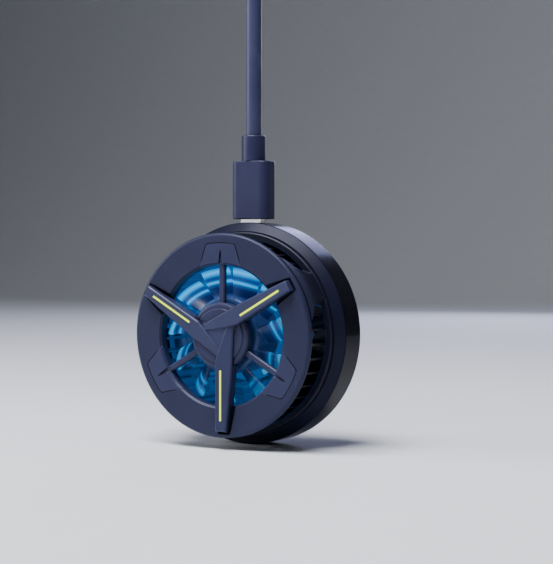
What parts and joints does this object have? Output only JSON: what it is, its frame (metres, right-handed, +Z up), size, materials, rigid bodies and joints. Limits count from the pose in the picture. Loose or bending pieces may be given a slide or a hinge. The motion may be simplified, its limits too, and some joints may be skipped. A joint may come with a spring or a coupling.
{
  "type": "phone cooling fan",
  "caption": "Round magnetic cooler for the back of a phone: cold plate, finned heat sink and impeller behind a pinwheel grille, fed by a cable plugged into its top edge.",
  "frame": {"origin": "centre of the contact face that lies on the phone's back", "axes": "+Y out of the contact face into the phone, so the fan faces -Y; +Z up, along the cable; +X to the right seen from the front"},
  "size_m": [0.0616, 0.026, 0.1774],
  "materials": {
    "cover_plastic": "matte, fine mould texture",
    "housing_plastic": "satin",
    "shell_plastic": "glossy",
    "accent": "bright yellow-green inlay",
    "silicone": "matte silicone",
    "cold_plate_metal": "fine bead-blasted",
    "sink_metal": "black anodised",
    "magnet": "nickel-plated",
    "ferrite": "matte ferrite",
    "steel": "zinc-plated",
    "screw_steel": "blackened",
    "core_steel": "stacked sheet",
    "thermal_pad": "soft pad",
    "alumina": "white ceramic",
    "pellet": "sintered",
    "circuit_board": "solder mask",
    "chip": "moulded",
    "light_chip": "lit blue",
    "insulator": "film",
    "wire": "insulated wire",
    "bronze": "sintered bronze",
    "copper": "enamelled copper wire",
    "nylon": "natural nylon",
    "impeller_plastic": "translucent",
    "connector_metal": "bright plated",
    "connector_core": "moulded",
    "plug_plastic": "satin",
    "cable_jacket": "smooth jacket"
  },
  "bodies": {
    "housing": {"contact_pad": "silicone", "cold_plate": "cold_plate_metal", "base_shell": "shell_plastic", "magnet_segments": "magnet", "magnet_shunt": "steel", "cold_thermal_pad": "thermal_pad", "cold_ceramic": "alumina", "module_pellets": "pellet", "hot_ceramic": "alumina", "hot_thermal_pad": "thermal_pad", "module_leads": "wire", "heat_sink": "sink_metal", "clamp_bushes": "nylon", "clamp_screws": "steel", "middle_housing": "housing_plastic", "case_screws": "screw_steel", "cover_screws": "screw_steel", "front_cover": "cover_plastic", "grille_frame": "cover_plastic", "pinwheel_cap": "cover_plastic", "accent_strips": "accent", "motor_mount": "nylon", "mount_screws": "screw_steel", "motor_board": "circuit_board", "light_chips": "light_chip", "thrust_pad": "nylon", "bearing_sleeve": "bronze", "stator_core": "core_steel", "stator_windings": "copper", "fan_leads": "wire", "control_board": "circuit_board", "board_insulator": "insulator", "board_chips": "chip", "usb_port_shell": "connector_metal", "usb_port_tongue": "connector_core"},
    "rotor": {"impeller": "impeller_plastic", "rotor_yoke": "steel", "rotor_magnet": "ferrite", "fan_shaft": "steel"},
    "plug": {"plug_shell": "connector_metal", "plug_overmould": "plug_plastic", "plug_strain_relief": "plug_plastic", "cable": "cable_jacket", "usb_a_strain_relief": "plug_plastic", "usb_a_overmould": "plug_plastic", "usb_a_shell": "connector_metal", "usb_a_tongue": "connector_core"}
  },
  "joints": [
    {"name": "fan_spin", "type": "hinge", "parent": "housing", "child": "rotor", "pos_m": [0, 0, 0], "axis": [0, -1, 0], "continuous": true},
    {"name": "plug_slide", "type": "slide", "parent": "housing", "child": "plug", "axis": [0, 0, 1], "range_m": [0, 0.0078]}
  ]
}
